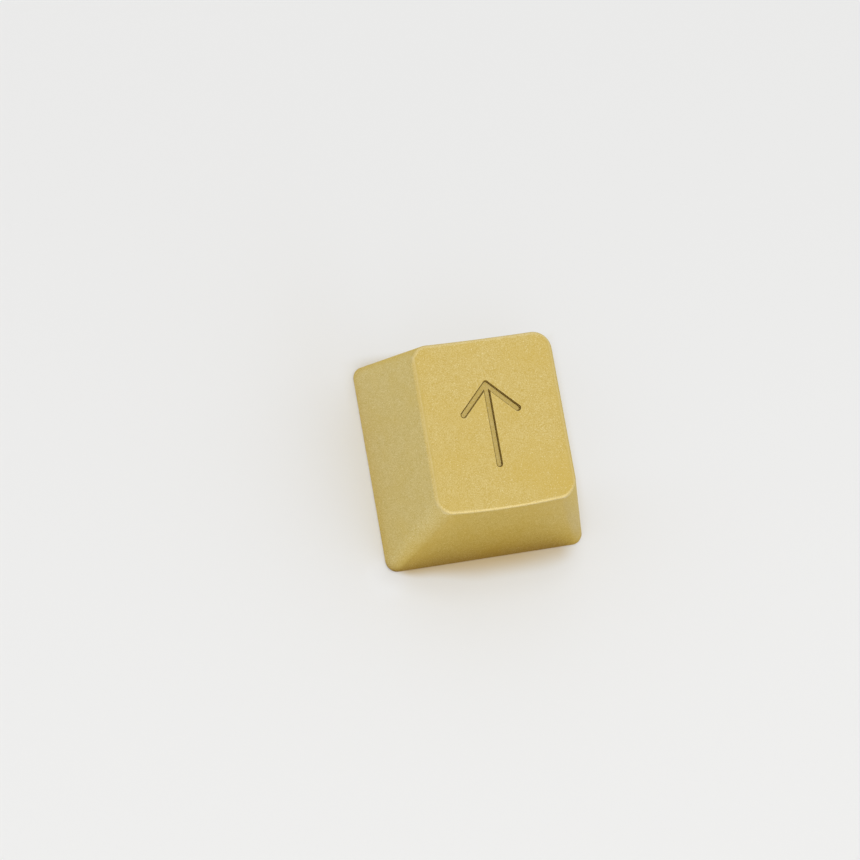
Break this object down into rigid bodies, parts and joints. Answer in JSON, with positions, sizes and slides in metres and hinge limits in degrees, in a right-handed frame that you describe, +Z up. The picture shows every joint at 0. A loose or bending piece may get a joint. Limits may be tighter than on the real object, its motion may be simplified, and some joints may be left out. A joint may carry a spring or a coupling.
{
  "type": "metal keycap",
  "caption": "Metal keycap with a tapered shell and a dished top, hollow underneath, with a round post whose cross socket pushes onto the stem of a key switch.",
  "frame": {"origin": "on the axis of the round post, in the plane of the base rim, which is the middle of the base outline", "axes": "+Z up through the dished top, +Y towards the back of the keyboard, where the wall is almost upright, +X to the typist's right"},
  "size_m": [0.018, 0.018, 0.0091],
  "materials": {
    "metal": "bead-blasted satin"
  },
  "bodies": {
    "root": {"keycap": "metal"}
  },
  "joints": []
}
